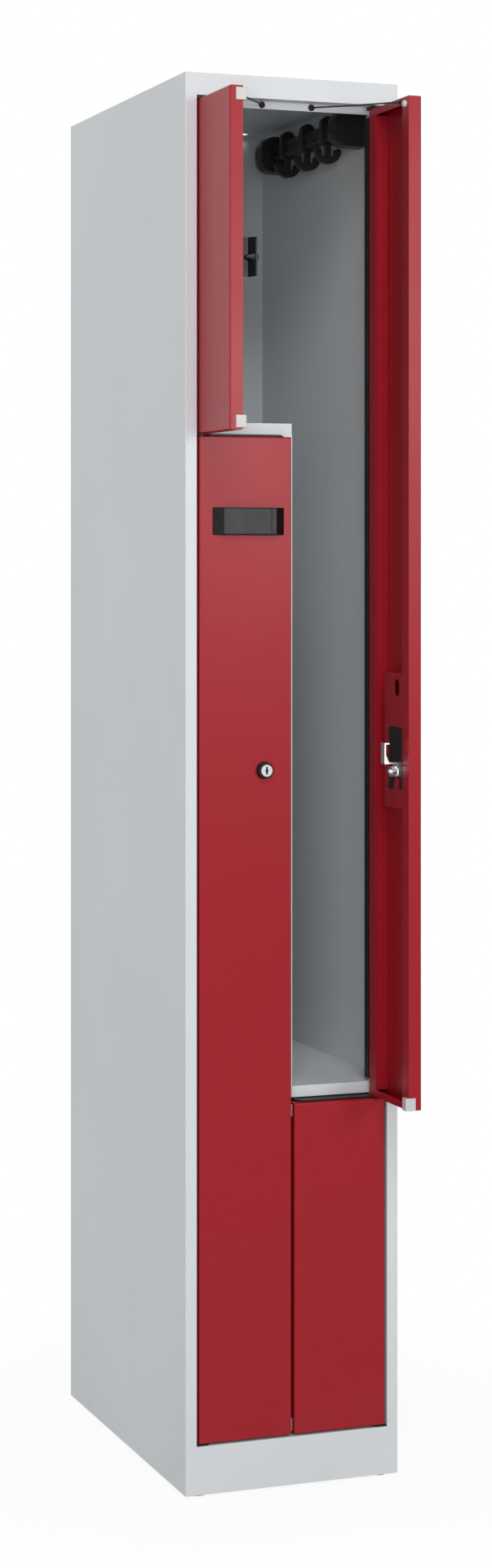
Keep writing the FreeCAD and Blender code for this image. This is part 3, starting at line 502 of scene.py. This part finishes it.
def soften(obj, width, segments):
    weld = obj.modifiers.new("weld", "WELD")
    weld.merge_threshold = WELD_REACH
    bevel = obj.modifiers.new("rounded_edges", "BEVEL")
    bevel.width = width
    bevel.segments = segments
    bevel.limit_method = "ANGLE"
    bevel.angle_limit = SHARP_EDGE
    bevel.harden_normals = True


SLOT_OF = {row["node"]: row["material_slot"] for row in frame["record"]["subparts"]}
for node_name, node_object in frame["nodes"].items():
    own_finish = [finish for prefix, finish in FINISH_OF.items() if node_name.startswith(prefix)]
    dress(node_object, own_finish[0] if own_finish else SLOT_OF[node_name])
    for prefix, (width, segments) in ROUND_OF.items():
        if node_name.startswith(prefix):
            soften(node_object, width, segments)


# Mesh pieces

def new_piece(name, mesh, slot_name):
    piece = bpy.data.objects.new(name, mesh)
    bpy.context.collection.objects.link(piece)
    dress(piece, slot_name)
    for polygon in mesh.polygons:
        polygon.use_smooth = True
    return piece


def on_side(place, side):
    x, y, z = place
    return (side * x, y, z)


def add_ring(shell, middle, side, up, radius, facets):
    ring = []
    for i in range(facets):
        angle = 2 * math.pi * i / facets
        spoke = side * math.cos(angle) + up * math.sin(angle)
        ring.append(shell.verts.new(middle + spoke * radius))
    return ring


def finish_shell(shell, name):
    bmesh.ops.recalc_face_normals(shell, faces=shell.faces)
    mesh = bpy.data.meshes.new(name)
    shell.to_mesh(mesh)
    shell.free()
    return mesh


def lathe(name, profile, slot_name, at, outward, facets=TURN_FACETS):
    # Turns a profile of (radius, distance along outward); one that starts off the axis is closed to a ring
    axis = Vector(outward).normalized()
    side = axis.orthogonal().normalized()
    up = axis.cross(side)
    shell = bmesh.new()
    rings = []
    for radius, along in profile:
        middle = Vector(at) + axis * along
        if radius < ON_AXIS:
            rings.append([shell.verts.new(middle)])
        else:
            rings.append(add_ring(shell, middle, side, up, radius, facets))
    pairs = list(zip(rings, rings[1:]))
    if profile[0][0] > ON_AXIS:
        pairs.append((rings[-1], rings[0]))
    for a, b in pairs:
        for i in range(facets):
            j = (i + 1) % facets
            corners = (a[i % len(a)], a[j % len(a)], b[j % len(b)], b[i % len(b)])
            distinct = list(dict.fromkeys(corners))
            if len(distinct) > 2:
                shell.faces.new(distinct)
    return new_piece(name, finish_shell(shell, name), slot_name)


def cord_line(points):
    # Smooth line of a route, read from its NURBS spline
    curve = bpy.data.curves.new("cord_route", "CURVE")
    curve.dimensions = "3D"
    curve.resolution_u = 12
    spline = curve.splines.new("NURBS")
    spline.points.add(len(points) - 1)
    for spot, point in zip(spline.points, points):
        spot.co = (*point, 1)
    spline.order_u = 3
    spline.use_endpoint_u = True
    route = bpy.data.objects.new("cord_route", curve)
    bpy.context.collection.objects.link(route)
    bpy.context.view_layer.update()
    line = bpy.data.meshes.new_from_object(route)
    found = [vertex.co.copy() for vertex in line.vertices]
    bpy.data.objects.remove(route)
    bpy.data.curves.remove(curve)
    bpy.data.meshes.remove(line)
    return found


def cord_mesh(name, line, radius):
    # Tube along a line, with a UV map for the braid
    shell = bmesh.new()
    uv = shell.loops.layers.uv.new("UVMap")
    along = [0.0]
    for a, b in zip(line, line[1:]):
        along.append(along[-1] + (b - a).length)
    rings = []
    for i, point in enumerate(line):
        ahead = line[min(i + 1, len(line) - 1)] - line[max(i - 1, 0)]
        side = ahead.cross(UP).normalized()
        up = side.cross(ahead).normalized()
        rings.append(add_ring(shell, point, side, up, radius, CORD_FACETS))
    for i in range(len(rings) - 1):
        near = along[i] * BRAID_PER_METRE
        far = along[i + 1] * BRAID_PER_METRE
        for k in range(CORD_FACETS):
            j = (k + 1) % CORD_FACETS
            face = shell.faces.new((rings[i][k], rings[i][j], rings[i + 1][j], rings[i + 1][k]))
            left = k / CORD_FACETS * BRAID_AROUND
            right = (k + 1) / CORD_FACETS * BRAID_AROUND
            for loop, spot in zip(face.loops, ((left, near), (right, near), (right, far), (left, far))):
                loop[uv].uv = spot
    shell.faces.new(rings[0])
    shell.faces.new(rings[-1])
    return finish_shell(shell, name)


# Limiter cords, taut from their buttons under the fascia to the open leaves
for hand, side in SIDES.items():
    leaf = "leaf_upper_" + hand
    start = on_side(CORD_START, side)
    end = on_side(CORD_END, side)
    middle = (Vector(start) + Vector(end)) / 2 - UP * CORD_SAG
    line = cord_line([Vector(start), middle, Vector(end)])
    cord = new_piece("cord_" + hand, cord_mesh("cord_" + hand, line, CORD_DIAMETER / 2), "black_cord")
    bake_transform(cord)
    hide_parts("limiter_cord_" + hand)
    inward = (-side, 0, 0)
    lip = Vector(end) - Vector(inward) * EYELET_SET_BACK
    eyelet = lathe("cord_eyelet_" + hand, EYELET_PROFILE, "black_plastic", lip, inward)
    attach(eyelet, leaf)

# Knobs that hold the cords, in place of the plain buttons
for hand, side in SIDES.items():
    button = on_side(BUTTON_PLACE, side)
    knob = lathe("cord_knob_" + hand, KNOB_PROFILE, "black_plastic", button, (0, -1, 0))
    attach(knob, "carcass")
    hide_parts("cord_buttons")

# Lock rosettes, in place of the plain bezels
for name, lock in LOCKS.items():
    rosette = lathe(
        "lock_rosette_" + name,
        ROSETTE_PROFILE,
        "black_plastic",
        lock["at"],
        lock["outward"],
        ROSETTE_FACETS,
    )
    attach(rosette, "leaf_" + name)
    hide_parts("lock_bezel_" + name)


def keyway_outline():
    # Upright slot whose long sides swell into a round eye at the middle
    meet = math.asin(KEYWAY_HALF / KEYWAY_EYE)
    outline = []
    for turn, half_turn in ((1, 0), (-1, math.pi)):
        outline.append((turn * KEYWAY_HALF, turn * KEYWAY_TALL))
        for i in range(EYE_STEPS + 1):
            angle = half_turn + meet + (math.pi - 2 * meet) * i / EYE_STEPS
            outline.append((KEYWAY_EYE * math.sin(angle), KEYWAY_EYE * math.cos(angle)))
        outline.append((turn * KEYWAY_HALF, -turn * KEYWAY_TALL))
    return outline


# Black piece that fills a keyway, as painted shade standing in for the dark inside of the keyhole
def painted_shade_keyway(name, at, outward):
    axis = Vector(outward)
    side = axis.cross(UP)
    outline = keyway_outline()
    levels = (
        (1.0, SHADE_PLUG_BACK),
        (1.0, SHADE_PLUG_FRONT - SHADE_PLUG_CHAMFER),
        (SHADE_PLUG_TIP_SHARE, SHADE_PLUG_FRONT),
    )
    shell = bmesh.new()
    rings = []
    for share, along in levels:
        middle = Vector(at) + axis * along
        rings.append([shell.verts.new(middle + (side * a + UP * b) * share) for a, b in outline])
    for low, high in zip(rings, rings[1:]):
        for i in range(len(outline)):
            j = (i + 1) % len(outline)
            shell.faces.new((low[i], low[j], high[j], high[i]))
    shell.faces.new(rings[0])
    shell.faces.new(rings[-1])
    return new_piece(name, finish_shell(shell, name), "black_plastic")


# Each lock's keyway is filled with a black piece as painted shade
for name, lock in LOCKS.items():
    shade_plug = painted_shade_keyway("painted_shade_keyway_" + name, lock["at"], lock["outward"])
    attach(shade_plug, "lock_" + name)


# Stage: pale floor, white surround, soft lights and the camera

def seen_directly(tree):
    # 1 for what the camera sees itself, or in metal and glass
    path = add_node(tree, "ShaderNodeLightPath").outputs
    shown = worked_out(tree, "MAXIMUM", path["Is Camera Ray"], path["Is Glossy Ray"])
    return worked_out(tree, "MAXIMUM", shown, path["Is Transmission Ray"])


def plain_floor():
    mesh = bpy.data.meshes.new("floor")
    corners = [(x * FLOOR_REACH, y * FLOOR_REACH, 0) for x, y in ((-1, -1), (1, -1), (1, 1), (-1, 1))]
    mesh.from_pydata(corners, [], [(0, 1, 2, 3)])
    floor = bpy.data.objects.new("floor", mesh)
    bpy.context.collection.objects.link(floor)
    tree = start_material("pale_floor")
    matt = add_node(tree, "ShaderNodeBsdfDiffuse", {"Color": FLOOR_GREY})
    white = add_node(tree, "ShaderNodeEmission", {"Color": WHITE, "Strength": 1.0})
    place = add_node(tree, "ShaderNodeTexCoord").outputs["Object"]
    distance = add_node(tree, "ShaderNodeVectorMath", {0: place}, operation="LENGTH").outputs["Value"]
    whiteness = spread(tree, distance, SHADOW_NEAR, SHADOW_FAR, WHITE_SHARE_NEAR, 1.0)
    share = worked_out(tree, "MULTIPLY", seen_directly(tree), whiteness)
    surface = add_node(tree, "ShaderNodeMixShader", {0: share, 1: matt.outputs[0], 2: white.outputs[0]})
    add_node(tree, "ShaderNodeOutputMaterial", {"Surface": surface.outputs[0]})
    dress(floor, "pale_floor")


def white_surround():
    world = bpy.data.worlds.new("white_surround")
    bpy.context.scene.world = world
    world.use_nodes = True
    tree = world.node_tree
    tree.nodes.clear()
    light = add_node(tree, "ShaderNodeBackground", {"Color": WHITE, "Strength": SURROUND_LIGHT})
    white = add_node(tree, "ShaderNodeBackground", {"Color": WHITE, "Strength": 1.0})
    shown = seen_directly(tree)
    surface = add_node(tree, "ShaderNodeMixShader", {0: shown, 1: light.outputs[0], 2: white.outputs[0]})
    add_node(tree, "ShaderNodeOutputWorld", {"Surface": surface.outputs[0]})


def soft_light(name, at, aim, width, height, watts):
    data = bpy.data.lights.new(name, "AREA")
    data.shape = "RECTANGLE"
    data.size = width
    data.size_y = height
    data.energy = watts
    lamp = bpy.data.objects.new(name, data)
    lamp.location = at
    lamp.rotation_euler = (Vector(aim) - Vector(at)).to_track_quat("-Z", "Y").to_euler()
    bpy.context.collection.objects.link(lamp)


def photo_camera():
    data = bpy.data.cameras.new("photo_camera")
    data.lens = CAMERA_LENS
    data.sensor_width = CAMERA_SENSOR
    data.shift_x = CAMERA_SHIFT_X
    data.shift_y = CAMERA_SHIFT_Y
    camera = bpy.data.objects.new("photo_camera", data)
    camera.location = CAMERA_PLACE
    camera.rotation_euler = (math.radians(90), 0, CAMERA_TURN)
    bpy.context.collection.objects.link(camera)
    bpy.context.scene.camera = camera


plain_floor()
white_surround()
soft_light("front_light", at=(-1.55, -4.4, 1.75), aim=(0, 0, 1.1), width=1.3, height=1.7, watts=31.5)
soft_light("high_light", at=(-0.8, -3.4, 4.2), aim=(0.05, -0.1, 0.9), width=1.8, height=1.5, watts=81.0)
soft_light("front_left_light", at=(-2.3, -4.2, 1.2), aim=(0, 0, 1.0), width=1.3, height=1.6, watts=25.5)
soft_light("right_light", at=(1.38, -4.0, 1.78), aim=(0, -0.25, 1.4), width=1.0, height=0.9, watts=40.5)
soft_light("left_light", at=(-3.0, 1.6, 2.3), aim=(0, 0, 1.1), width=1.8, height=2.0, watts=38.0)
soft_light("rear_light", at=(3.0, 1.7, 1.0), aim=(0, 0, 0.95), width=1.8, height=1.6, watts=46.0)
photo_camera()
bpy.context.scene.view_settings.view_transform = "Standard"
